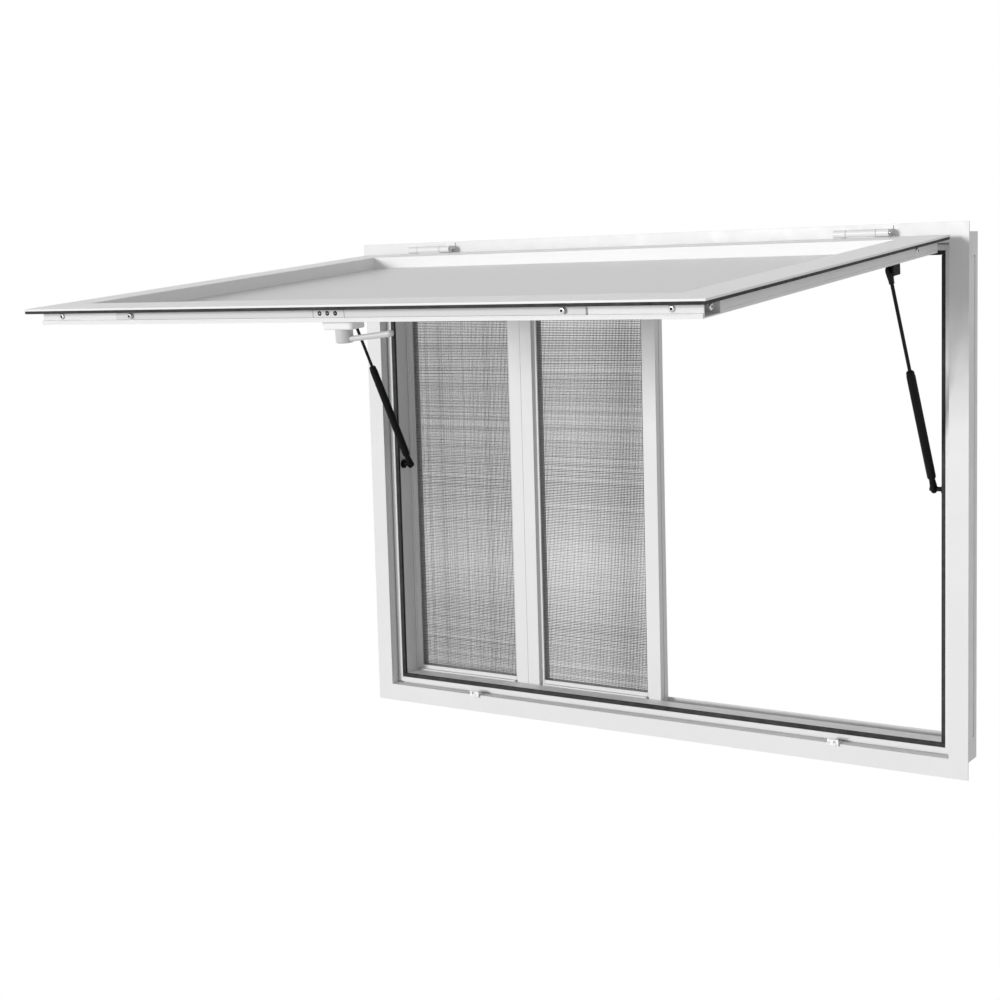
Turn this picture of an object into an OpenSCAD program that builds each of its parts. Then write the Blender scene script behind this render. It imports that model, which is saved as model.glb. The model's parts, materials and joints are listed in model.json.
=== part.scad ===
// Concession window: a wall frame with four sliding insect screens behind an awning
// that is hinged at the head, held open by two gas struts and locked from the inside.
// X runs to the right, Y into the wall and Z up. The origin is on the back face of the
// wall flange, at the middle of its lower strip. The awning is drawn open.

/* [Frame] */
// Width over the wall flange
flange_w = 1250; // [1000:1:1500]
// Height over the wall flange
flange_h = 942; // [860:1:1200]
// Width of the flange face
flange_face = 34; // [33:0.5:38]
// Thickness of the flange
flange_t = 2.5; // [2:0.1:3.5]
// Flange width outside the box
overhang = 16; // [12:0.5:17]
// Depth of the box behind the flange
box_depth = 91.5; // [91:0.5:110]
// Wall thickness of the frame section
wall = 2; // [1.6:0.1:2.4]
// Distance from the flange edge to the stop seal
seal_inset = 12.5; // [11:0.5:14]
// Radius of the screw holes in the box sides
screw_r = 2.5; // [2:0.1:3.5]
// Distance of the screw holes from the box ends
screw_end = 41.5; // [34:0.5:80]
// Distance of the screw holes in front of the box's rear face
screw_back = 16; // [10:0.5:24]

/* [Stop seal] */
// Width of the stop seal
seal_w = 7.5; // [6:0.5:9]
// Thickness of the stop seal
seal_t = 6; // [4:0.5:7]
// Depth of the seal seat behind the step
seat_drop = 7.3; // [7:0.1:9]

/* [Screens] */
// Room before and behind each screen in its track
track_gap = 1; // [0.5:0.1:1.5]
// Thickness of one screen sash
sash_t = 14; // [12:0.5:14]
// Width of the sash face
sash_face = 26; // [20:0.5:32]
// Width of the recessed lip that holds the mesh
sash_lip = 7; // [6:0.5:9]
// Recess of the lip behind the sash face
lip_recess = 8; // [6:0.5:9]
// Thickness of the mesh sheet
mesh_t = 0.8; // [0.6:0.1:1.2]
// Depth of the channel that takes the sashes
channel_reach = 24; // [20:0.5:26]
// Room over the sashes for lifting them out
lift_room = 4; // [3:0.5:8]
// Overlap of neighbouring screens when all are shut
sash_lap = 5; // [3:0.5:12]

/* [Awning] */
// Angle of the open awning above its closed place
open_angle = 85; // [60:1:88]
// Reach of the sheet over the flange inner edge at the sides
cover_side = 10.5; // [8:0.5:12]
// Thickness of the outer rim sheet
skin_t = 3.2; // [2:0.1:4]
// Width of the rim at the sides
rim_side = 70; // [64:0.5:80]
// Width of the rim at the front, over the rail that carries the handle
rim_front = 76.3; // [70:0.1:90]
// Width of the rim at the hinges
rim_back = 67; // [60:0.5:80]
// Depth of the recess inside the rim
recess_depth = 21; // [15:0.5:24]
// Thickness of the recessed panel
panel_t = 2.5; // [1.5:0.1:2.8]
// Thickness of the seal behind the sheet
awning_seal_t = 4.6; // [3:0.1:4.6]
// Room between the closed awning seal and the flange
close_gap = 5; // [5:0.5:6]
// Depth of the awning frame section
rail_depth = 19.6; // [18:0.1:20]
// Width of the stiles and the hinge rail
stile_w = 20; // [18:0.5:20]
// Height of the lip below the groove
lip_h = 4.8; // [4:0.1:6]
// Room between the awning frame and the flange edge
side_room = 5.1; // [5:0.1:6]
// Room between the closed awning frame and the step behind it
step_room = 5.1; // [5:0.1:6]
// Room between the front rail and the lower flange edge
front_room = 11.4; // [11:0.1:14]
// Depth of the lock channel in the front rail
lock_channel = 4; // [3.5:0.1:5]

/* [Hinges] */
// Distance of the hinge axis in front of the flange
hinge_out = 19.5; // [19:0.5:24]
// Distance of the hinge axis below the flange top
hinge_down = 14.5; // [13:0.5:16]
// Radius of the hinge barrel
barrel_r = 6.5; // [6:0.1:7]
// Radius of the hinge pin
pin_r = 3; // [2.5:0.1:3.5]
// Length of one hinge
hinge_len = 98; // [80:1:140]
// Length of an outer knuckle
knuckle_len = 22; // [16:0.5:30]
// Distance of each hinge from the middle of the window
hinge_x = 447; // [380:1:480]

/* [Gas struts] */
// Distance of the strut axis from the jamb face
strut_gap = 18; // [18:0.5:19]
// Height of the lower strut stud above the flange bottom
strut_low = 492; // [470:1:520]
// Distance of the lower strut stud behind the seat of the stop seal
strut_setback = 9.5; // [9:0.5:14]
// Distance of the upper stud from the hinge axis
strut_reach = 159; // [150:1:175]
// Drop of the upper stud below the awning frame
strut_drop = 14; // [12:0.5:16]
// Radius of the strut tube
tube_r = 7.5; // [6:0.1:8]
// Length of the strut tube
tube_len = 214; // [200:1:222]
// Radius of the strut rod
rod_r = 3; // [2.5:0.1:4]
// Radius of the strut studs
stud_r = 4; // [3:0.1:4.5]
// Radius of the strut end sockets
socket_r = 8; // [7:0.5:9]
// Width of the strut end sockets
socket_w = 12; // [10:0.5:12]
// Distance from a socket centre to the end of its neck
neck_len = 24; // [20:0.5:26]

/* [Lock] */
// Distance of each lock roller from the middle
roller_x = 387; // [340:1:420]
// Radius of a lock roller
roller_r = 4.2; // [4:0.1:4.4]
// Height of a lock roller over the bar
roller_h = 5.4; // [5:0.1:6]
// Travel of the lock bars
lock_stroke = 16; // [14:0.5:20]
// Length of a keeper along the sill
keeper_len = 21; // [17:0.5:26]
// Radius of the hole in a keeper
keeper_hole = 2.2; // [1.5:0.1:2.4]
// Distance from the middle to the end of a lock bar
bar_end = 420; // [410:1:500]
// Half length of the lock faceplate
plate_half = 27.5; // [24:0.5:34]
// Width of the handle base
base_w = 56; // [48:1:70]
// Length of the handle base across the front rail
base_len = 34; // [28:0.5:44]
// Thickness of the handle base
base_t = 13; // [10:0.5:14]
// Radius of the handle boss
boss_r = 13; // [11:0.5:16]
// Height of the handle boss
boss_h = 20; // [16:0.5:21]
// Reach of the handle lever
lever_len = 96; // [80:1:120]
// Tilt of the lever out of the window's width
lever_tilt = 14; // [0:1:20]

/* [Hidden] */
$fn = 48;

// Clearances
seat_gap = 0.3;
run_gap = 0.05;
hair = 0.2;
knuckle_gap = 1;
socket_gap = 0.5;
cut = 1;

// Outer edges of the flange
z_bot = -overhang / 2;
z_top = z_bot + flange_h;
x_out = flange_w / 2;

// Awning in its closed place
axis_y = -flange_t - hinge_out;
axis_z = z_top - hinge_down;
rail_front = -flange_t - close_gap;
rail_back = rail_front + rail_depth;
skin_back = rail_front - awning_seal_t;
skin_front = skin_back - skin_t;
skin_half = x_out - flange_face + cover_side;
hinge_clear = 4.1;
skin_top = axis_z - hinge_clear;
skin_bot = z_bot + flange_face - cover_side;
rail_half = x_out - flange_face - side_room;
rail_top = z_top - flange_face - side_room;
rail_bot = z_bot + flange_face + front_room;
seal_edge = 1;
awning_seal_w = 16;
awning_wall = 2;
groove_slot = 1;
recess_half = skin_half - rim_side;
recess_bot = skin_bot + rim_front;
recess_top = skin_top - rim_back;
panel_front = skin_front + recess_depth;
front_rail_w = recess_bot - skin_t - seat_gap - rail_bot;

// Frame, with distances measured inward from the flange's outer edge
step_depth = rail_back + step_room;
seat_depth = step_depth + seat_drop;
seal_from = flange_face + seal_inset;
inner_edge = seal_from + seal_w;
channel_edge = inner_edge - channel_reach;
groove_w = 3;
groove_depth = 6;
rib_w = 1.8;
rib_reach = 10;
channel_back = box_depth - wall;
channel_front = channel_back - 2 * (sash_t + 2 * track_gap);
front_track = channel_front + track_gap;
rear_track = channel_back - track_gap - sash_t;
rib_y = (channel_front + channel_back) / 2;
frame_mid_z = (z_bot + z_top) / 2;

// Screens
sash_x0 = -x_out + channel_edge + seat_gap;
sash_w = (-2 * sash_x0 + 3 * sash_lap) / 4;
sash_gap = 0.4;
sash_z0 = z_bot + channel_edge + seat_gap;
sash_h = flange_h - 2 * channel_edge - seat_gap - lift_room;
lip_t = 4;
mesh_under = 5;

// Hinges
web_h = 6.5;
leaf_t = 2;
leaf_h = 12.5;
link_t = 3;
awning_leaf_t = 2.5;
awning_leaf_h = 30;

// Struts: lower pivot, and the upper pivot with the awning closed and open
jamb_face = x_out - inner_edge;
strut_x = jamb_face - strut_gap;
low_y = seat_depth + strut_setback;
low_z = z_bot + strut_low;
shut_y = rail_back + strut_drop;
shut_z = axis_z - strut_reach;
high_y = axis_y + (shut_y - axis_y) * cos(open_angle) + (shut_z - axis_z) * sin(open_angle);
high_z = axis_z - (shut_y - axis_y) * sin(open_angle) + (shut_z - axis_z) * cos(open_angle);
strut_len = norm([high_y - low_y, high_z - low_z]);
strut_tilt = atan2(low_y - high_y, high_z - low_z);
neck_r = 5;
rod_hold = 24;
tube_end = 6;
stud_base_r = 9;
stud_base_t = 3;
bracket_t = 3;
bracket_len = 30;

// Lock
bar_t = 3.2;
bar_margin = 1;
bar_w = rail_depth - lip_h - groove_slot - 2 * bar_margin;
bar_y = rail_front + bar_margin + bar_w / 2;
bar_face = rail_bot + lock_channel - seat_gap - bar_t;
latch_gap = 0.4;
keeper_base = 1.5;
keeper_foot = 4;
tab_t = 1.3;
tab_h = 8.4;
tab_room = 5.1;
tab_back = bar_y - roller_r - latch_gap;
base_edge = 2;
boss_z = rail_bot + front_rail_w - base_len / 2 - base_edge;
spindle_r = 4;
spindle_len = 8;
lever_t = 9;
lever_tip_r = 6;

// Turns a piece drawn closed into the open awning's place
module opened() {
    translate([0, axis_y, axis_z]) rotate([-open_angle, 0, 0])
        translate([0, -axis_y, -axis_z]) children();
}

module mirrored(side) {
    if (side < 0) mirror([1, 0, 0]) children();
    else children();
}

module block(lo, hi) {
    translate(lo) cube(hi - lo);
}

// Frame bar along X, with its outer edge at Z 0 and its inside towards +Z
module frame_section() {
    step_from = flange_face + groove_w;
    for (r = [
        [-flange_t, 0, 0, flange_face],
        [0, box_depth, overhang, overhang + wall],
        [-flange_t, step_depth + groove_depth + wall, flange_face - wall, flange_face],
        [step_depth + groove_depth, step_depth + groove_depth + wall,
            flange_face - wall, step_from + wall],
        [step_depth, step_depth + groove_depth + wall, step_from, step_from + wall],
        [step_depth, step_depth + wall, step_from, seal_from],
        [step_depth, seat_depth + wall, seal_from - wall, seal_from],
        [seat_depth, seat_depth + wall, seal_from - wall, inner_edge],
        [seat_depth, channel_front, inner_edge - wall, inner_edge],
        [channel_front - wall, channel_front, channel_edge - wall, inner_edge],
        [channel_front - wall, box_depth, channel_edge - wall, channel_edge],
        [rib_y - rib_w / 2, rib_y + rib_w / 2, channel_edge - wall, channel_edge + rib_reach],
        [box_depth - wall, box_depth, overhang, inner_edge],
    ]) translate([r[0], r[2]]) square([r[1] - r[0], r[3] - r[2]]);
}

module frame_bar(run) {
    intersection() {
        rotate([90, 0, 90]) linear_extrude(height = run, center = true) frame_section();
        rotate([90, 0, 0]) linear_extrude(height = 4 * box_depth, center = true)
            polygon([[-run / 2, 0], [run / 2, 0], [run / 2 - inner_edge, inner_edge],
                [inner_edge - run / 2, inner_edge]]);
    }
}

module frame_head() {
    color("whitesmoke") translate([0, 0, z_top]) mirror([0, 0, 1]) frame_bar(flange_w);
}

module frame_sill() {
    color("whitesmoke") translate([0, 0, z_bot]) frame_bar(flange_w);
}

module frame_jamb(side) {
    color("whitesmoke") mirrored(side) difference() {
        translate([x_out, 0, frame_mid_z]) rotate([0, -90, 0]) frame_bar(flange_h);
        for (z = [z_bot + overhang + screw_end, z_top - overhang - screw_end])
            translate([x_out - overhang - wall - cut, box_depth - screw_back, z])
                rotate([0, 90, 0]) cylinder(r = screw_r, h = wall + 2 * cut);
    }
}

module frame_jamb_left() { frame_jamb(-1); }
module frame_jamb_right() { frame_jamb(1); }

// Four black strips round the opening, cut a hair short at the corners
module stop_seal() {
    half = x_out - seal_from;
    zs = [z_bot + seal_from, z_top - seal_from - seal_w];
    color("dimgray") {
        for (z = zs)
            block([-half, seat_depth - seal_t, z], [half, seat_depth, z + seal_w]);
        for (s = [-1, 1]) mirrored(s)
            block([half - seal_w, seat_depth - seal_t, zs[0] + seal_w + hair],
                [half, seat_depth, zs[1] - hair]);
    }
}

// Two keepers on the lower flange edge: each roller is locked behind the tab at rest,
// and free of it once it has slid outwards
module sill_keepers() {
    z0 = z_bot + flange_face;
    x1 = roller_x + lock_stroke - roller_r - tab_room;
    color("gainsboro") for (s = [-1, 1]) mirrored(s) difference() {
        union() {
            block([x1 - keeper_len, tab_back - hair, z0], [x1, step_depth, z0 + keeper_base]);
            block([x1 - keeper_len, tab_back - tab_t, z0 - keeper_foot], [x1, -flange_t, z0]);
            block([x1 - keeper_len, tab_back - tab_t, z0 - keeper_foot],
                [x1, tab_back, z0 + tab_h]);
        }
        translate([x1 - tab_room - keeper_hole, tab_back - tab_t - cut,
            z0 + keeper_base + keeper_hole + hair])
            rotate([-90, 0, 0]) cylinder(r = keeper_hole, h = tab_t + 2 * cut);
    }
}

// Sash of four butted bars, each a face with a recessed lip on its inner side
module sash(x0, y0) {
    w = sash_w - sash_gap;
    bar = sash_face + sash_lip;
    color("whitesmoke") translate([x0, y0, sash_z0]) {
        for (side = [0, 1]) translate([side * w, 0, 0]) mirrored(1 - 2 * side) {
            block([0, 0, 0], [sash_face, sash_t, sash_h]);
            block([0, lip_recess, 0], [bar, lip_recess + lip_t, sash_h]);
        }
        for (up = [0, 1]) translate([0, 0, up * sash_h]) mirror([0, 0, up]) {
            block([bar + hair, 0, 0], [w - bar - hair, sash_t, sash_face]);
            block([bar + hair, lip_recess, 0], [w - bar - hair, lip_recess + lip_t, bar]);
        }
    }
}

module mesh(x0, y0) {
    w = sash_w - sash_gap;
    edge = sash_face + sash_lip - mesh_under;
    back = y0 + lip_recess + lip_t;
    color("darkgray") block([x0 + edge, back, sash_z0 + edge],
        [x0 + w - edge, back + mesh_t, sash_z0 + sash_h - edge]);
}

module front_sash_left() { sash(sash_x0, front_track); }
module front_sash_right() { sash(sash_x0 + sash_w, front_track); }
module rear_sash_left() { sash(sash_x0, rear_track); }
module rear_sash_right() { sash(sash_x0 + sash_w, rear_track); }
module front_mesh_left() { mesh(sash_x0, front_track); }
module front_mesh_right() { mesh(sash_x0 + sash_w, front_track); }
module rear_mesh_left() { mesh(sash_x0, rear_track); }
module rear_mesh_right() { mesh(sash_x0 + sash_w, rear_track); }

module knuckle(x0, x1, r) {
    translate([x0, axis_y, axis_z]) rotate([0, 90, 0]) cylinder(r = r, h = x1 - x0);
}

// Frame half of each hinge: a plate on the flange and two knuckles on webs over the awning
module hinge_frame_leaves() {
    half = hinge_len / 2;
    color("whitesmoke") for (s = [-1, 1]) translate([s * hinge_x, 0, 0]) {
        block([-half, -flange_t - leaf_t, axis_z], [half, -flange_t, axis_z + leaf_h]);
        for (k = [-1, 1]) mirrored(k) difference() {
            union() {
                knuckle(half - knuckle_len, half, barrel_r);
                block([half - knuckle_len, axis_y, axis_z],
                    [half, -flange_t - leaf_t, axis_z + web_h]);
            }
            knuckle(half - knuckle_len - cut, half + cut, pin_r);
        }
    }
}

module hinge_pins() {
    half = hinge_len / 2 + 2;
    color("dimgray") for (s = [-1, 1]) translate([s * hinge_x, 0, 0])
        knuckle(-half, half, pin_r);
}

module jamb_studs() {
    color("dimgray") for (s = [-1, 1]) mirrored(s) translate([0, low_y, low_z])
        rotate([0, 90, 0]) {
            translate([0, 0, strut_x - socket_w / 2 - cut])
                cylinder(r = stud_r, h = jamb_face - strut_x + socket_w / 2 + cut);
            translate([0, 0, jamb_face - stud_base_t]) cylinder(r = stud_base_r, h = stud_base_t);
        }
}

// Block over the awning's recess, grown sideways and between two depths
module recess(grown, y0, y1) {
    block([-recess_half - grown, y0, recess_bot - grown], [recess_half + grown, y1, recess_top + grown]);
}

// Rim sheet with deep sides round its recess
module awning_skin() {
    color("whitesmoke") opened() difference() {
        union() {
            block([-skin_half, skin_front, skin_bot], [skin_half, skin_back, skin_top]);
            recess(skin_t, skin_front, panel_front + panel_t);
        }
        recess(0, skin_front - cut, panel_front + panel_t + cut);
    }
}

// Flat panel at the bottom of the recess
module awning_panel() {
    color("gainsboro") opened() recess(-hair, panel_front, panel_front + panel_t);
}

module awning_leaf_room(gap) {
    half = hinge_len / 2 - knuckle_len - knuckle_gap + gap;
    for (s = [-1, 1]) translate([s * hinge_x, 0, 0])
        block([-half, skin_back - gap, axis_z - awning_leaf_h - gap],
            [half, skin_back + awning_leaf_t + gap, axis_z]);
}

// Black strips behind the rim of the sheet, notched for the hinge leaves
module awning_seal() {
    x1 = skin_half - seal_edge;
    z0 = skin_bot + seal_edge;
    z1 = skin_top - seal_edge;
    w = awning_seal_w;
    color("dimgray") opened() difference() {
        union() {
            block([-x1, skin_back, z0], [x1, rail_front, z0 + rail_bot - skin_bot + w / 2]);
            block([-x1, skin_back, rail_top - w / 2], [x1, rail_front, z1]);
            for (s = [-1, 1]) mirrored(s)
                block([x1 - w - side_room, skin_back, z0], [x1, rail_front, z1]);
        }
        awning_leaf_room(seat_gap);
    }
}

// Hollow bar: depth along X and width along Y, with a groove above its lip on the outer side
module rail_section(w) {
    difference() {
        square([rail_depth, w]);
        translate([awning_wall, awning_wall + groove_slot])
            square([rail_depth - 2 * awning_wall, w - 2 * awning_wall - groove_slot]);
        translate([rail_depth - lip_h - groove_slot, -cut]) square([groove_slot, cut + groove_slot]);
    }
}

// Front rail section, with the channel of the lock bars in its outer face
module front_rail_section() {
    difference() {
        square([rail_depth, front_rail_w]);
        translate([awning_wall, lock_channel + awning_wall])
            square([rail_depth - 2 * awning_wall, front_rail_w - lock_channel - 2 * awning_wall]);
        translate([bar_margin - hair, -cut])
            square([bar_w + 2 * hair, cut + lock_channel]);
        translate([rail_depth - lip_h - groove_slot, -cut]) square([groove_slot, cut + groove_slot]);
    }
}

module awning_front_rail() {
    color("whitesmoke") opened() translate([0, rail_front, rail_bot]) rotate([90, 0, 90])
        linear_extrude(height = 2 * rail_half, center = true) front_rail_section();
}

module awning_hinge_rail() {
    color("whitesmoke") opened() translate([0, rail_front, rail_top]) mirror([0, 0, 1])
        rotate([90, 0, 90])
        linear_extrude(height = 2 * (rail_half - stile_w), center = true) rail_section(stile_w);
}

module awning_stile(side) {
    z0 = rail_bot + front_rail_w;
    color("whitesmoke") opened() mirrored(side) translate([rail_half, rail_front, z0])
        rotate([0, 0, 90]) linear_extrude(height = rail_top - z0) rail_section(stile_w);
}

module awning_left_stile() { awning_stile(-1); }
module awning_right_stile() { awning_stile(1); }

// Awning half of each hinge: a link over the sheet's edge and a plate behind the sheet
module hinge_awning_leaves() {
    half = hinge_len / 2 - knuckle_len - knuckle_gap;
    color("whitesmoke") opened() for (s = [-1, 1]) translate([s * hinge_x, 0, 0]) difference() {
        union() {
            knuckle(-half, half, barrel_r);
            block([-half, axis_y, axis_z - link_t], [half, skin_back + awning_leaf_t, axis_z]);
            block([-half, skin_back, axis_z - awning_leaf_h],
                [half, skin_back + awning_leaf_t, axis_z]);
        }
        knuckle(-half - cut, half + cut, pin_r + run_gap);
    }
}

// Plates on the inner side of the stiles, each with a short stud towards its strut
module awning_brackets() {
    x1 = rail_half - stile_w;
    color("dimgray") opened() for (s = [-1, 1]) mirrored(s) {
        block([x1 - bracket_t, rail_front + awning_wall, shut_z - bracket_len / 2],
            [x1, shut_y + socket_r, shut_z + bracket_len / 2]);
        translate([strut_x + socket_w / 2 + socket_gap, shut_y, shut_z]) rotate([0, 90, 0])
            cylinder(r = stud_r, h = x1 - strut_x - socket_w / 2 - socket_gap);
    }
}

module lock_faceplate() {
    color("whitesmoke") opened()
        block([-plate_half, bar_y - bar_w / 2, bar_face],
            [plate_half, bar_y + bar_w / 2, rail_bot + lock_channel]);
}

module lock_bar(side) {
    color("whitesmoke") opened() mirrored(side)
        block([plate_half + knuckle_gap, bar_y - bar_w / 2, bar_face],
            [bar_end, bar_y + bar_w / 2, bar_face + bar_t]);
}

module lock_roller(side) {
    color("gainsboro") opened() mirrored(side)
        translate([roller_x, bar_y, bar_face - roller_h]) cylinder(r = roller_r, h = roller_h);
}

module lock_bar_left() { lock_bar(-1); }
module lock_bar_right() { lock_bar(1); }
module lock_roller_left() { lock_roller(-1); }
module lock_roller_right() { lock_roller(1); }

module handle_base() {
    corner = 6;
    color("whitesmoke") opened() difference() {
        translate([0, rail_back, boss_z]) rotate([-90, 0, 0]) linear_extrude(height = base_t)
            union() {
                square([base_w - 2 * corner, base_len], center = true);
                square([base_w, base_len - 2 * corner], center = true);
                for (i = [-1, 1], j = [-1, 1])
                    translate([i * (base_w / 2 - corner), j * (base_len / 2 - corner)])
                        circle(r = corner);
            }
        translate([0, rail_back + base_t - spindle_len - cut, boss_z]) rotate([-90, 0, 0])
            cylinder(r = spindle_r + run_gap, h = spindle_len + 2 * cut);
    }
}

// Lever with its boss and the spindle that turns in the handle base
module handle_lever() {
    y0 = rail_back + base_t + seat_gap;
    color("whitesmoke") opened() translate([0, y0, boss_z]) rotate([-90, 0, 0]) {
        translate([0, 0, -spindle_len]) cylinder(r = spindle_r, h = spindle_len + cut);
        cylinder(r = boss_r, h = boss_h);
        translate([0, 0, boss_h - lever_t - 3]) rotate([0, 0, -lever_tilt])
            linear_extrude(height = lever_t) union() {
                polygon([[0, -boss_r * 0.7], [lever_len, -lever_tip_r],
                    [lever_len, lever_tip_r], [0, boss_r * 0.7]]);
                translate([lever_len, 0]) circle(r = lever_tip_r);
            }
    }
}

// Puts a strut piece, drawn up Z from its lower pivot, in its place at one side
module strut_place(side) {
    mirrored(side) translate([strut_x, low_y, low_z]) rotate([strut_tilt, 0, 0]) children();
}

module socket() {
    translate([-socket_w / 2, 0, 0]) rotate([0, 90, 0]) cylinder(r = socket_r, h = socket_w);
}

module strut_tube(side) {
    top = neck_len + tube_len;
    color("black") strut_place(side) difference() {
        union() {
            socket();
            cylinder(r = neck_r, h = neck_len + cut);
            translate([0, 0, neck_len]) cylinder(r = tube_r, h = tube_len);
        }
        translate([-socket_w, 0, 0]) rotate([0, 90, 0])
            cylinder(r = stud_r + run_gap, h = 2 * socket_w);
        translate([0, 0, neck_len + tube_end])
            cylinder(r = rod_r + run_gap, h = tube_len + cut);
    }
}

module strut_rod(side) {
    start = neck_len + tube_len - rod_hold;
    color("black") strut_place(side) {
        translate([0, 0, start]) cylinder(r = rod_r, h = strut_len - start);
        translate([0, 0, strut_len - neck_len]) cylinder(r = neck_r, h = neck_len);
        translate([0, 0, strut_len]) socket();
    }
}

module strut_tube_left() { strut_tube(-1); }
module strut_tube_right() { strut_tube(1); }
module strut_rod_left() { strut_rod(-1); }
module strut_rod_right() { strut_rod(1); }

frame_head();
frame_sill();
frame_jamb_left();
frame_jamb_right();
stop_seal();
sill_keepers();
front_sash_left();
front_sash_right();
rear_sash_left();
rear_sash_right();
front_mesh_left();
front_mesh_right();
rear_mesh_left();
rear_mesh_right();
hinge_frame_leaves();
hinge_pins();
jamb_studs();
awning_skin();
awning_panel();
awning_seal();
awning_front_rail();
awning_hinge_rail();
awning_left_stile();
awning_right_stile();
hinge_awning_leaves();
awning_brackets();
lock_faceplate();
handle_base();
lock_bar_left();
lock_bar_right();
lock_roller_left();
lock_roller_right();
handle_lever();
strut_tube_left();
strut_tube_right();
strut_rod_left();
strut_rod_right();
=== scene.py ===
import json
import math
import random

import bmesh
import bpy
from mathutils import Matrix, Vector


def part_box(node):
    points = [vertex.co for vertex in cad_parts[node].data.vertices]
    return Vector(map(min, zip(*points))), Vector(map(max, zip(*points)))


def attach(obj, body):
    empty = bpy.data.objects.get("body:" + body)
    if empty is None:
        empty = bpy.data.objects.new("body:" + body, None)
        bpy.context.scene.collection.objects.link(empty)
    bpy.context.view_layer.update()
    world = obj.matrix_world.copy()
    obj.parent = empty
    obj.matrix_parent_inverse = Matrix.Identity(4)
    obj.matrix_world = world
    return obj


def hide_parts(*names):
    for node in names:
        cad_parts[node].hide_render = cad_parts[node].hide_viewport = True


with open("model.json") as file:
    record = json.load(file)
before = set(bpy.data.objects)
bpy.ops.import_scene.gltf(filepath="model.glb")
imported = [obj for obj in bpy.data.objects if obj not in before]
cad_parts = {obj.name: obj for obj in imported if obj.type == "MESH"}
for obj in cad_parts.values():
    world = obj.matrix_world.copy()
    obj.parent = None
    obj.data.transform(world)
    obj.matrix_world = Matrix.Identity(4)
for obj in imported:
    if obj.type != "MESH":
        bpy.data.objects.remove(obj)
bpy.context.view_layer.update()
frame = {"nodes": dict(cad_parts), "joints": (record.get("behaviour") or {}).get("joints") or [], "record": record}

MM = 0.001
JOINTS = {j["name"]: j for j in frame["joints"]}
SIDES = ("left", "right")

# Camera of the photograph, solved from its straight edges
CAMERA_PLACE = Vector((1.5328, -2.7949, 0.8740))
CAMERA_YAW = math.radians(33.525)
CAMERA_PITCH = math.radians(-6.296)
CAMERA_ROLL = math.radians(-1.615)
CAMERA_LENS = 61.73
CAMERA_SHIFT = (0.0041, -0.0397)

# Light: one wide sun from the front left, and an even pale surround
SUN_FROM = Vector((-0.42, -1.0, 0.12))
SUN_STRENGTH = 1.8
SUN_SPREAD = math.radians(14)
AMBIENT = 0.46
FLOOR_Z = -0.62
FLOOR_SIZE = 60.0
FLOOR_GLOW = 1.0
FLOOR_PAINT = 0.9
WHITE = (1, 1, 1, 1)

# Screen cloth
WIRE_PITCH = 3.2 * MM
WIRE_WIDTH = 0.74 * MM
WIRE_UNEVEN = (0.65, 1.35)

# Screws and rounded edges
SCREW_R = 4.6 * MM
SCREW_H = 2.6 * MM
SCREW_RIM = 0.35
SCREW_CROWN = 0.62
RECESS_DRAFT = 0.96
HEX_R = 1.9 * MM
HEX_DEEP = 1.5 * MM
CROSS_ARM = 2.3 * MM
CROSS_HALF = 0.55 * MM
CROSS_DEEP = 0.9 * MM
FACE_SCREW_R = 3.4 * MM
FACE_SCREW_H = 0.5 * MM
FACE_SCREWS = (-16.0 * MM, -2.0 * MM, 12.3 * MM)
RAIL_SCREW_INSET = 44 * MM
STILE_SCREWS = (21 * MM, 759 * MM)
EDGE = 0.4 * MM
SEAL_EDGE = 1.2 * MM
WELD = 0.002 * MM
TURNS = 48
FEW_TURNS = 24

# Lock rollers: shares of the radius and of the height
ROLLER_STEM = 0.62
ROLLER_STEM_END = 0.25
ROLLER_HEAD = 0.3
ROLLER_EDGE = 0.7 * MM

# Handle base
BASE_CORNER = 7 * MM
BASE_SOFT = 2.2 * MM

# Handle lever
BOSS_R = 13 * MM
BOSS_EDGE = 2.0 * MM
BASE_GAP = 0.3 * MM
SPINDLE_R = 4 * MM
SPINDLE_FROM = -7.5 * MM
SPINDLE_TO = 0.5 * MM
LEVER_REACH = 84 * MM
LEVER_TILT = math.radians(4)
LEVER_DROP = 8.3 * MM
LEVER_START = 15.6 * MM
LEVER_WIDE = (5.4 * MM, 6.0 * MM)
LEVER_THICK = (3.9 * MM, 4.8 * MM)
LEVER_STEPS = 22
TIP_FROM = 0.93
TIP_END = 0.05
SQUARISH = 0.7

# Gas struts
TUBE_R = 7.5 * MM
TUBE_ROUND = 1.4 * MM
CAP_INSET = 0.7 * MM
ROD_R = 3 * MM
BORE_R = 3.05 * MM
NECK_LEN = 24 * MM
TUBE_NECK_R = 5.2 * MM
ROD_NECK_R = 4.4 * MM
SOCKET_WIDE = 6.0 * MM
SOCKET_DEEP = 8.0 * MM
SOCKET_STEPS = 14
SOCKET_TURNS = 32


# Camera, light and floor

def grey(v):
    return (v, v, v)


def make_camera():
    forward = Vector((-math.sin(CAMERA_YAW) * math.cos(CAMERA_PITCH),
                      math.cos(CAMERA_YAW) * math.cos(CAMERA_PITCH), math.sin(CAMERA_PITCH)))
    level = Vector((math.cos(CAMERA_YAW), math.sin(CAMERA_YAW), 0))
    upward = level.cross(forward)
    c, s = math.cos(CAMERA_ROLL), math.sin(CAMERA_ROLL)
    right = c * level + s * upward
    up = c * upward - s * level
    data = bpy.data.cameras.new("camera")
    data.sensor_width = 36
    data.lens = CAMERA_LENS
    data.shift_x, data.shift_y = CAMERA_SHIFT
    cam = bpy.data.objects.new("camera", data)
    cam.matrix_world = Matrix.Translation(CAMERA_PLACE) @ Matrix(
        (right, up, -forward)).transposed().to_4x4()
    bpy.context.scene.collection.objects.link(cam)
    bpy.context.scene.camera = cam


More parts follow.
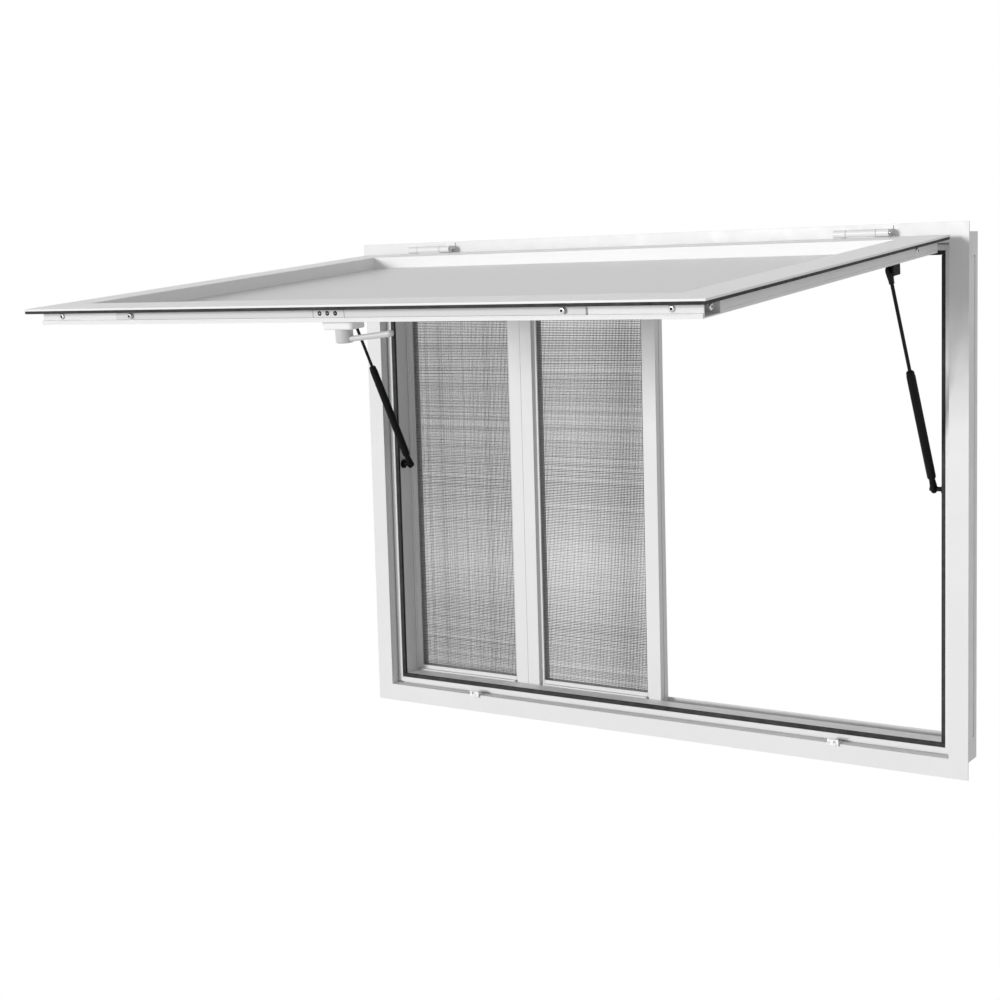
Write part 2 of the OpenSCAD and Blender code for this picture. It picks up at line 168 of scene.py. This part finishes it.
def seen_directly(tree):
    """1 where a ray comes from the camera, a gloss or a clear surface, else 0."""
    path = tree.nodes.new("ShaderNodeLightPath")
    total = path.outputs["Is Camera Ray"]
    for name in ("Is Glossy Ray", "Is Transmission Ray"):
        add = tree.nodes.new("ShaderNodeMath")
        add.operation = "MAXIMUM"
        tree.links.new(total, add.inputs[0])
        tree.links.new(path.outputs[name], add.inputs[1])
        total = add.outputs[0]
    return total


def make_world():
    world = bpy.data.worlds.new("surround")
    world.use_nodes = True
    tree = world.node_tree
    tree.nodes.clear()
    lit = tree.nodes.new("ShaderNodeBackground")
    lit.inputs["Color"].default_value = WHITE
    lit.inputs["Strength"].default_value = AMBIENT
    seen = tree.nodes.new("ShaderNodeBackground")
    seen.inputs["Color"].default_value = WHITE
    seen.inputs["Strength"].default_value = 1.0
    mix = tree.nodes.new("ShaderNodeMixShader")
    out = tree.nodes.new("ShaderNodeOutputWorld")
    tree.links.new(seen_directly(tree), mix.inputs[0])
    tree.links.new(lit.outputs[0], mix.inputs[1])
    tree.links.new(seen.outputs[0], mix.inputs[2])
    tree.links.new(mix.outputs[0], out.inputs["Surface"])
    bpy.context.scene.world = world


def make_sun():
    data = bpy.data.lights.new("sun", "SUN")
    data.energy = SUN_STRENGTH
    data.angle = SUN_SPREAD
    sun = bpy.data.objects.new("sun", data)
    sun.rotation_euler = SUN_FROM.to_track_quat("Z", "Y").to_euler()
    bpy.context.scene.collection.objects.link(sun)


def make_floor():
    mat = bpy.data.materials.new("floor_paint")
    mat.use_nodes = True
    tree = mat.node_tree
    tree.nodes.clear()
    paint = tree.nodes.new("ShaderNodeBsdfDiffuse")
    paint.inputs["Color"].default_value = (*grey(FLOOR_PAINT), 1)
    glow = tree.nodes.new("ShaderNodeEmission")
    share = tree.nodes.new("ShaderNodeMath")
    share.operation = "MULTIPLY"
    share.inputs[1].default_value = FLOOR_GLOW
    mix = tree.nodes.new("ShaderNodeMixShader")
    out = tree.nodes.new("ShaderNodeOutputMaterial")
    tree.links.new(seen_directly(tree), share.inputs[0])
    tree.links.new(share.outputs[0], mix.inputs[0])
    tree.links.new(paint.outputs[0], mix.inputs[1])
    tree.links.new(glow.outputs[0], mix.inputs[2])
    tree.links.new(mix.outputs[0], out.inputs["Surface"])
    half = FLOOR_SIZE / 2
    floor = mesh_object("floor", [(-half, -half, FLOOR_Z), (half, -half, FLOOR_Z),
                                  (half, half, FLOOR_Z), (-half, half, FLOOR_Z)], [(0, 1, 2, 3)])
    floor.data.materials.append(mat)


# Materials

NOISE_LOW = 0.3
NOISE_HIGH = 0.7


class Shader:
    """A material's node tree with a Principled shader, and short ways to add to it."""

    def __init__(self, name):
        self.mat = bpy.data.materials.new(name)
        self.mat.use_nodes = True
        self.tree = self.mat.node_tree
        self.principled = self.tree.nodes["Principled BSDF"]
        self.coords = self.tree.nodes.new("ShaderNodeTexCoord").outputs["Object"]

    def link(self, a, b):
        self.tree.links.new(a, b)

    def noise(self, scale, detail=3.0, rough=0.55, stretch=(1, 1, 1)):
        mapping = self.tree.nodes.new("ShaderNodeMapping")
        mapping.inputs["Scale"].default_value = stretch
        self.link(self.coords, mapping.inputs["Vector"])
        tex = self.tree.nodes.new("ShaderNodeTexNoise")
        tex.inputs["Scale"].default_value = scale
        tex.inputs["Detail"].default_value = detail
        tex.inputs["Roughness"].default_value = rough
        self.link(mapping.outputs[0], tex.inputs["Vector"])
        return tex.outputs["Fac"]

    def ramp(self, value, low, high):
        node = self.tree.nodes.new("ShaderNodeValToRGB")
        node.color_ramp.elements[0].position = NOISE_LOW
        node.color_ramp.elements[0].color = (*low, 1)
        node.color_ramp.elements[1].position = NOISE_HIGH
        node.color_ramp.elements[1].color = (*high, 1)
        self.link(value, node.inputs[0])
        return node.outputs[0]

    def spread(self, value, low, high):
        node = self.tree.nodes.new("ShaderNodeMapRange")
        node.inputs["From Min"].default_value = NOISE_LOW
        node.inputs["From Max"].default_value = NOISE_HIGH
        node.inputs["To Min"].default_value = low
        node.inputs["To Max"].default_value = high
        self.link(value, node.inputs["Value"])
        return node.outputs[0]

    def bump(self, value, distance, under=None):
        node = self.tree.nodes.new("ShaderNodeBump")
        node.inputs["Distance"].default_value = distance
        node.inputs["Strength"].default_value = 1.0
        self.link(value, node.inputs["Height"])
        if under is not None:
            self.link(under, node.inputs["Normal"])
        return node.outputs[0]

    def set(self, name, value):
        self.principled.inputs[name].default_value = value

    def plug(self, name, value):
        self.link(value, self.principled.inputs[name])


def powder_coat(name, tone, peel=0.03, gloss=0.38):
    """White powder coat: a fine orange peel, faint cloudiness and uneven gloss."""
    s = Shader(name)
    s.plug("Base Color", s.ramp(s.noise(5.0, 4.0), grey(tone * 0.965), grey(tone)))
    s.plug("Roughness", s.spread(s.noise(38.0, 2.0), gloss - 0.05, gloss + 0.07))
    broad = s.bump(s.noise(160.0, 2.0), peel * MM)
    s.plug("Normal", s.bump(s.noise(1300.0, 2.0), 0.3 * peel * MM, broad))
    s.set("Specular IOR Level", 0.42)
    return s.mat


def sheet_paint():
    """Gloss white sheet: a smooth paint of faintly uneven tone and gloss."""
    s = Shader("sheet_paint")
    s.plug("Base Color", s.ramp(s.noise(2.2, 3.0), grey(0.61), grey(0.63)))
    s.plug("Roughness", s.spread(s.noise(24.0, 3.0), 0.285, 0.305))
    s.set("Specular IOR Level", 0.4)
    return s.mat


def rubber():
    """Black extruded seal, matt, with a fine grain and a little dust."""
    s = Shader("seal_rubber")
    s.plug("Base Color", s.ramp(s.noise(30.0, 5.0), grey(0.010), grey(0.030)))
    s.plug("Roughness", s.spread(s.noise(90.0, 3.0), 0.55, 0.75))
    s.plug("Normal", s.bump(s.noise(700.0, 3.0), 0.03 * MM))
    s.set("Specular IOR Level", 0.35)
    return s.mat


def wire():
    """Coated screen wire, dark grey."""
    s = Shader("screen_wire")
    s.plug("Base Color", s.ramp(s.noise(60.0, 3.0), grey(0.10), grey(0.16)))
    s.plug("Roughness", s.spread(s.noise(200.0, 2.0), 0.4, 0.6))
    s.plug("Normal", s.bump(s.noise(2600.0, 1.0), 0.01 * MM))
    return s.mat


def black_paint(name, tone, gloss):
    """Black enamel on steel, with fine scratches along it."""
    s = Shader(name)
    s.plug("Base Color", s.ramp(s.noise(45.0, 4.0), grey(tone * 0.6), grey(tone)))
    scratches = s.noise(70.0, 4.0, stretch=(6, 1, 0.4))
    s.plug("Roughness", s.spread(scratches, gloss - 0.08, gloss + 0.1))
    s.plug("Normal", s.bump(s.noise(900.0, 3.0), 0.015 * MM))
    s.set("Specular IOR Level", 0.12)
    return s.mat


def plated_steel():
    """Zinc plated steel, brushed, with a faintly uneven tone."""
    s = Shader("plated_steel")
    s.plug("Base Color", s.ramp(s.noise(120.0, 4.0), grey(0.50), grey(0.66)))
    s.plug("Roughness", s.spread(s.noise(240.0, 3.0, stretch=(1, 9, 1)), 0.22, 0.38))
    s.plug("Normal", s.bump(s.noise(1500.0, 2.0), 0.01 * MM))
    s.set("Metallic", 1.0)
    return s.mat


def painted_recess_shade():
    """Painted shade: near-black colour on the walls and floor of a screw's or roller's recess, standing in for the
    shade inside it.
    """
    s = Shader("recess_painted_shade")
    s.plug("Base Color", s.ramp(s.noise(800.0, 2.0), grey(0.006), grey(0.02)))
    s.set("Roughness", 0.8)
    return s.mat


# Mesh helpers

def mesh_object(name, verts, faces):
    data = bpy.data.meshes.new(name)
    data.from_pydata([tuple(v) for v in verts], [], faces)
    data.validate()
    obj = bpy.data.objects.new(name, data)
    bpy.context.scene.collection.objects.link(obj)
    return obj


def finish_piece(obj, mat, body, replaced=()):
    """Gives a new piece its material, its body and the CAD nodes it stands for."""
    if not obj.data.materials:
        obj.data.materials.append(mat)
    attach(obj, body)
    if replaced:
        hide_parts(*replaced)


def smooth_below(obj, angle):
    """Smooth shading with sharp edges where faces meet at more than the angle."""
    obj.data.polygons.foreach_set("use_smooth", [True] * len(obj.data.polygons))
    obj.data.set_sharp_from_angle(angle=math.radians(angle))


class Solid:
    """Vertices and faces of one piece, with material numbers, before it is made."""

    def __init__(self):
        self.verts = []
        self.faces = []
        self.tones = []

    def face(self, loop, tone=0):
        self.faces.append(tuple(loop))
        self.tones.append(tone)

    def rings(self, rings, tone_end=0):
        """Joins rings of equal length into a closed skin, with a tone for its last ring."""
        count = len(rings[0])
        base = len(self.verts)
        for ring in rings:
            self.verts.extend(ring)
        for i in range(len(rings) - 1):
            for k in range(count):
                n = (k + 1) % count
                a = base + i * count
                self.face((a + k, a + n, a + count + n, a + count + k),
                          0 if i < len(rings) - 2 else tone_end)
        last = base + (len(rings) - 1) * count
        self.face(range(base + count - 1, base - 1, -1))
        self.face(range(last, last + count), tone_end)

    def make(self, name, mats, place, angle=35):
        obj = mesh_object(name, [place @ v for v in self.verts], self.faces)
        for mat in mats:
            obj.data.materials.append(mat)
        obj.data.polygons.foreach_set("material_index", self.tones)
        clean = bmesh.new()
        clean.from_mesh(obj.data)
        bmesh.ops.recalc_face_normals(clean, faces=clean.faces)
        clean.to_mesh(obj.data)
        clean.free()
        smooth_below(obj, angle)
        return obj


def circle(r, z, count=TURNS):
    return outline(lambda a: r, z, count)


def outline(radius_at, z, count=TURNS):
    """A ring at height z whose radius follows the angle."""
    ring = []
    for k in range(count):
        a = 2 * math.pi * k / count
        r = radius_at(a)
        ring.append(Vector((r * math.cos(a), r * math.sin(a), z)))
    return ring


def hexagon(r):
    """Radius of a hexagon's outline at an angle, with flats r from the centre."""
    return lambda a: r / math.cos((a % (math.pi / 3)) - math.pi / 6)


def cross(arm, half):
    """Radius of a plus sign's outline at an angle."""
    def radius(a):
        turn = (a + math.pi / 4) % (math.pi / 2) - math.pi / 4
        return min(arm / math.cos(turn), half / max(abs(math.sin(turn)), 1e-6))
    return radius


def fillet(r, z, edge, steps=4):
    """Rings of a rounded outer edge that ends on the face at height z."""
    rings = []
    for i in range(steps + 1):
        a = math.pi / 2 * i / steps
        rings.append(circle(r - edge + edge * math.cos(a), z - edge * (1 - math.sin(a))))
    return rings


def screw(solid, place, r, h, recess, deep):
    """A screw head along +Z at a place, domed, with a recess of any outline."""
    rings = [circle(r, 0), circle(r, h * SCREW_RIM)]
    for i in range(1, 5):
        a = math.pi / 2 * i / 5
        rings.append(circle(r * (SCREW_CROWN + (1 - SCREW_CROWN) * math.cos(a)),
                            h * (SCREW_RIM + (1 - SCREW_RIM) * math.sin(a))))
    rings.append(outline(recess, h))
    rings.append(outline(lambda a: recess(a) * RECESS_DRAFT, h - deep))
    # The recess wall and floor take the second material, which is painted shade.
    solid.rings([[place @ p for p in ring] for ring in rings], tone_end=1)


# Places on the awning, in its closed position

AXIS = Vector(JOINTS["awning_hinge"]["pos_m"])
OPEN = math.radians(JOINTS["awning_hinge"]["range_deg"][1])
OPENED = (Matrix.Translation(AXIS) @ Matrix.Rotation(-OPEN, 4, "X") @ Matrix.Translation(-AXIS))
CLOSED = OPENED.inverted()


def closed_box(node):
    """Lowest and highest corner of an awning node with the awning closed."""
    points = [CLOSED @ v.co for v in frame["nodes"][node].data.vertices]
    lo = Vector(min(p[i] for p in points) for i in range(3))
    hi = Vector(max(p[i] for p in points) for i in range(3))
    return lo, hi


def facing(place, direction):
    """A matrix at a place whose +Z looks along a direction."""
    turn = Vector(direction).to_track_quat("Z", "Y").to_matrix().to_4x4()
    return Matrix.Translation(place) @ turn


# Pieces

def make_screen(node, mat):
    """Woven screen cloth: upright wires and level wires that pass each other."""
    lo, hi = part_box(node)
    middle = (lo.y + hi.y) / 2
    rng = random.Random(node)
    solid = Solid()
    for along, across in ((2, 0), (0, 2)):
        count = int((hi[across] - lo[across]) / WIRE_PITCH)
        pitch = (hi[across] - lo[across]) / count
        y = middle + (0.4 if along == 2 else -0.4) * WIRE_WIDTH
        for i in range(count):
            c = lo[across] + (i + 0.5) * pitch
            r = WIRE_WIDTH / 2 * rng.uniform(*WIRE_UNEVEN)
            ends = []
            for end in (lo[along], hi[along]):
                ring = []
                for da, dy in ((-r, 0), (0, -WIRE_WIDTH / 2), (r, 0), (0, WIRE_WIDTH / 2)):
                    p = Vector((0, y + dy, 0))
                    p[across] = c + da
                    p[along] = end
                    ring.append(p)
                ends.append(ring)
            solid.rings(ends)
    obj = mesh_object(node.replace("mesh", "screen_cloth"), solid.verts, solid.faces)
    finish_piece(obj, mat, "frame", [node])


def make_awning_screws(mats):
    """Button heads in the lock channel and on the stiles' outer sides."""
    lo, hi = closed_box("lock_faceplate")
    rail_lo, rail_hi = closed_box("awning_front_rail")
    channel_floor = hi.z
    mid_y = (lo.y + hi.y) / 2
    solid = Solid()
    for side in (-1, 1):
        end_x = side * (rail_hi.x - RAIL_SCREW_INSET)
        screw(solid, facing(Vector((end_x, mid_y, channel_floor)), (0, 0, -1)),
              SCREW_R, SCREW_H, hexagon(HEX_R), HEX_DEEP)
        for up in STILE_SCREWS:
            place = facing(Vector((side * rail_hi.x, mid_y, rail_lo.z + up)), (side, 0, 0))
            screw(solid, place, SCREW_R, SCREW_H, hexagon(HEX_R), HEX_DEEP)
    finish_piece(solid.make("awning_screws", mats, OPENED), mats[0], "awning")


def make_faceplate_screws(mats):
    """Small dark screws with crossed recesses, level with the faceplate."""
    lo, hi = closed_box("lock_faceplate")
    solid = Solid()
    for x in FACE_SCREWS:
        screw(solid, facing(Vector((x, (lo.y + hi.y) / 2, lo.z)), (0, 0, -1)),
              FACE_SCREW_R, FACE_SCREW_H, cross(CROSS_ARM, CROSS_HALF), CROSS_DEEP)
    finish_piece(solid.make("faceplate_screws", mats, OPENED), mats[0], "awning")


def make_roller(name, mats):
    """Lock roller: a stepped button on a short stem, with a hexagon socket."""
    lo, hi = closed_box("lock_roller_" + name)
    centre = (lo + hi) / 2
    r = (hi.x - lo.x) / 2
    tall = hi.z - lo.z
    place = facing(Vector((centre.x, centre.y, hi.z)), (0, 0, -1))
    rings = [circle(r * ROLLER_STEM, 0), circle(r * ROLLER_STEM, tall * ROLLER_STEM_END),
             circle(r, tall * ROLLER_HEAD)]
    rings += fillet(r, tall, ROLLER_EDGE)
    rings += [outline(hexagon(HEX_R), tall),
              outline(hexagon(HEX_R * RECESS_DRAFT), tall - HEX_DEEP)]
    solid = Solid()
    # The hexagon socket's wall and floor take the second material, which is painted shade.
    solid.rings([[place @ p for p in ring] for ring in rings], tone_end=1)
    piece = solid.make("roller_" + name, mats, OPENED)
    finish_piece(piece, mats[0], "lock_" + name, ["lock_roller_" + name])


def rounded_rectangle(w, h, r, z, steps=6):
    ring = []
    for cx, cy, start in ((1, 1, 0), (-1, 1, 1), (-1, -1, 2), (1, -1, 3)):
        for i in range(steps + 1):
            a = math.pi / 2 * (start + i / steps)
            ring.append(Vector((cx * (w / 2 - r) + r * math.cos(a),
                                cy * (h / 2 - r) + r * math.sin(a), z)))
    return ring


def make_handle_base(mat):
    """Escutcheon: a rounded block with a soft lower edge."""
    lo, hi = closed_box("handle_base")
    w, tall, h = hi.x - lo.x, hi.y - lo.y, hi.z - lo.z
    rings = [rounded_rectangle(w, h, BASE_CORNER, z) for z in (0, tall - BASE_SOFT)]
    for i in range(1, 6):
        a = math.pi / 2 * i / 5
        inset = BASE_SOFT * (1 - math.cos(a))
        rings.append(rounded_rectangle(w - 2 * inset, h - 2 * inset, BASE_CORNER - inset,
                                       tall - BASE_SOFT + BASE_SOFT * math.sin(a)))
    centre = (lo + hi) / 2
    place = facing(Vector((centre.x, lo.y, centre.z)), (0, 1, 0))
    if abs((place.to_3x3() @ Vector((1, 0, 0))).x) < 0.5:
        place = place @ Matrix.Rotation(math.pi / 2, 4, "Z")
    solid = Solid()
    solid.rings([[place @ p for p in ring] for ring in rings])
    piece = solid.make("handle_escutcheon", [mat], OPENED)
    finish_piece(piece, mat, "awning", ["handle_base"])


def between(pair, t):
    return pair[0] + (pair[1] - pair[0]) * t


def make_lever(mat):
    """Lever: a round boss and a flat arm that runs down towards the awning."""
    top_y = closed_box("handle_lever")[1].y
    start_y = closed_box("handle_base")[1].y + BASE_GAP
    boss = CLOSED @ Vector(JOINTS["handle_turn"]["pos_m"])
    tall = top_y - start_y
    place = facing(Vector((boss.x, start_y, boss.z)), (0, 1, 0))
    solid = Solid()
    rings = [circle(BOSS_R, 0)] + fillet(BOSS_R, tall, BOSS_EDGE) + [circle(BOSS_R / 2, tall)]
    solid.rings([[place @ p for p in ring] for ring in rings])
    spindle = [circle(SPINDLE_R, z, FEW_TURNS) for z in (SPINDLE_FROM, SPINDLE_TO)]
    solid.rings([[place @ p for p in ring] for ring in spindle])
    arm = []
    for i in range(LEVER_STEPS + 1):
        t = i / LEVER_STEPS
        along = Vector((math.cos(LEVER_TILT), 0, math.sin(LEVER_TILT))) * LEVER_REACH * t
        centre = boss + along
        centre.y = start_y + LEVER_START - LEVER_DROP * t
        into_tip = max(0.0, (t - TIP_FROM) / (1 - TIP_FROM))
        end = max(TIP_END, math.sqrt(max(0.0, 1 - into_tip ** 2)))
        ring = []
        for k in range(FEW_TURNS):
            a = 2 * math.pi * k / FEW_TURNS
            c, s = math.cos(a), math.sin(a)
            u = between(LEVER_WIDE, t) * end * math.copysign(abs(c) ** SQUARISH, c)
            v = between(LEVER_THICK, t) * end * math.copysign(abs(s) ** SQUARISH, s)
            ring.append(centre + Vector((-u * math.sin(LEVER_TILT), v, u * math.cos(LEVER_TILT))))
        arm.append(ring)
    solid.rings(arm)
    piece = solid.make("lever", [mat], OPENED, 50)
    finish_piece(piece, mat, "handle", ["handle_lever"])


def strut_place(name):
    """The matrix of a strut: its origin on the lower pivot and +Z along the strut."""
    turn = JOINTS["strut_turn_" + name]
    slide = JOINTS["strut_slide_" + name]
    direction = Vector(slide["axis"])
    tilt = math.atan2(-direction.y, direction.z)
    return Matrix.Translation(Vector(turn["pos_m"])) @ Matrix.Rotation(tilt, 4, "X")


def local_reach(node, place):
    """Lowest and highest local Z of a node along its strut."""
    back = place.inverted()
    heights = [(back @ v.co).z for v in frame["nodes"][node].data.vertices]
    return min(heights), max(heights)


def make_ball_socket(solid, centre_z, toward, neck_end, neck_r):
    """A plastic ball socket: a rounded cup that tapers to the neck of the strut."""
    rings = []
    for i in range(SOCKET_STEPS + 1):
        t = i / SOCKET_STEPS
        if t < 0.5:
            a = math.pi * t
            z = centre_z - toward * SOCKET_DEEP * math.cos(a)
            k = max(math.sin(a), 0.08)
            rx, ry = SOCKET_WIDE * k, SOCKET_DEEP * k
        else:
            s = (t - 0.5) * 2
            z = centre_z + (neck_end - centre_z) * s
            k = 1 - s * s * (3 - 2 * s)
            rx, ry = between((neck_r, SOCKET_WIDE), k), between((neck_r, SOCKET_DEEP), k)
        rings.append([Vector((rx * p.x, ry * p.y, z)) for p in circle(1, 0, SOCKET_TURNS)])
    solid.rings(rings)


def make_strut(name, tube_mat, rod_mat):
    """Gas strut: a tube with a crimped end and a rod, each with its ball socket."""
    place = strut_place(name)
    high = local_reach("strut_tube_" + name, place)[1]
    tube = Solid()
    rings = [circle(TUBE_NECK_R, NECK_LEN - 4 * MM), circle(TUBE_R - TUBE_ROUND, NECK_LEN)]
    for i in range(1, 5):
        a = math.pi / 2 * i / 4
        rings.append(circle(TUBE_R - TUBE_ROUND * (1 - math.sin(a)),
                            NECK_LEN + TUBE_ROUND * (1 - math.cos(a))))
    for r, below in ((TUBE_R, 9 * MM), (TUBE_R - CAP_INSET, 7 * MM), (TUBE_R - CAP_INSET, 2 * MM),
                     (TUBE_R - 2 * MM, 0), (BORE_R, 0), (BORE_R, 5 * MM)):
        rings.append(circle(r, high - below))
    tube.rings(rings)
    make_ball_socket(tube, 0.0, 1, NECK_LEN, TUBE_NECK_R)
    piece = tube.make("tube_" + name, [tube_mat], place, 40)
    finish_piece(piece, tube_mat, "tube_" + name, ["strut_tube_" + name])
    start, end = local_reach("strut_rod_" + name, place)
    top = end - SOCKET_DEEP
    rod = Solid()
    rod.rings([circle(ROD_R, start, FEW_TURNS), circle(ROD_R, top - NECK_LEN + 2 * MM, FEW_TURNS)])
    make_ball_socket(rod, top, -1, top - NECK_LEN, ROD_NECK_R)
    piece = rod.make("rod_" + name, [rod_mat], place, 40)
    finish_piece(piece, rod_mat, "rod_" + name, ["strut_rod_" + name])


def dress_cad(mats, awning_white):
    """Materials on the CAD pieces that stay, and small rounded edges on the square ones."""
    slots = {s["node"]: s["material_slot"] for s in frame["record"]["subparts"]}
    round_nodes = {"hinge_frame_leaves", "hinge_pins", "hinge_awning_leaves", "jamb_studs",
                   "awning_brackets"}
    for name, node in frame["nodes"].items():
        on_awning = name.startswith("awning") and slots[name] == "white_frame"
        mat = awning_white if on_awning else mats[slots[name]]
        node.data.materials.clear()
        node.data.materials.append(mat)
        if name in round_nodes:
            continue
        weld = node.modifiers.new("weld", "WELD")
        weld.merge_threshold = WELD
        bevel = node.modifiers.new("edge", "BEVEL")
        bevel.width = SEAL_EDGE if "seal" in name else EDGE
        bevel.segments = 2
        bevel.limit_method = "ANGLE"
        bevel.angle_limit = math.radians(40)


# Assembly

make_camera()
make_world()
make_sun()
make_floor()

white = powder_coat("frame_coat", 0.80)
rim_white = powder_coat("awning_coat", 0.93, 0.012)
# Painted shade: the lever's white coat is darker (0.64 against 0.80) to stand in for the shade the lever sits in;
# it also goes on the hidden white_handle CAD nodes.
lever_white_painted_shade = powder_coat("lever_coat_painted_shade", 0.64, 0.015, 0.32)
sheet = sheet_paint()
seal = rubber()
screen_wire = wire()
strut_black = black_paint("strut_black", 0.004, 0.5)
rod_black = black_paint("rod_black", 0.010, 0.40)
steel = plated_steel()
recess_shade_paint = painted_recess_shade()

dress_cad({
    "white_frame": white,
    "white_sheet": sheet,
    "black_rubber": seal,
    "screen_mesh": screen_wire,
    "black_steel": strut_black,
    "bright_steel": steel,
    "white_handle": lever_white_painted_shade,
}, rim_white)
for screen in ("front_mesh_left", "front_mesh_right", "rear_mesh_left", "rear_mesh_right"):
    make_screen(screen, screen_wire)
make_awning_screws([steel, recess_shade_paint])
make_faceplate_screws([rod_black, recess_shade_paint])
make_handle_base(rim_white)
make_lever(lever_white_painted_shade)
for side_name in SIDES:
    make_roller(side_name, [steel, recess_shade_paint])
    make_strut(side_name, strut_black, rod_black)

bpy.context.scene.view_settings.view_transform = "Standard"
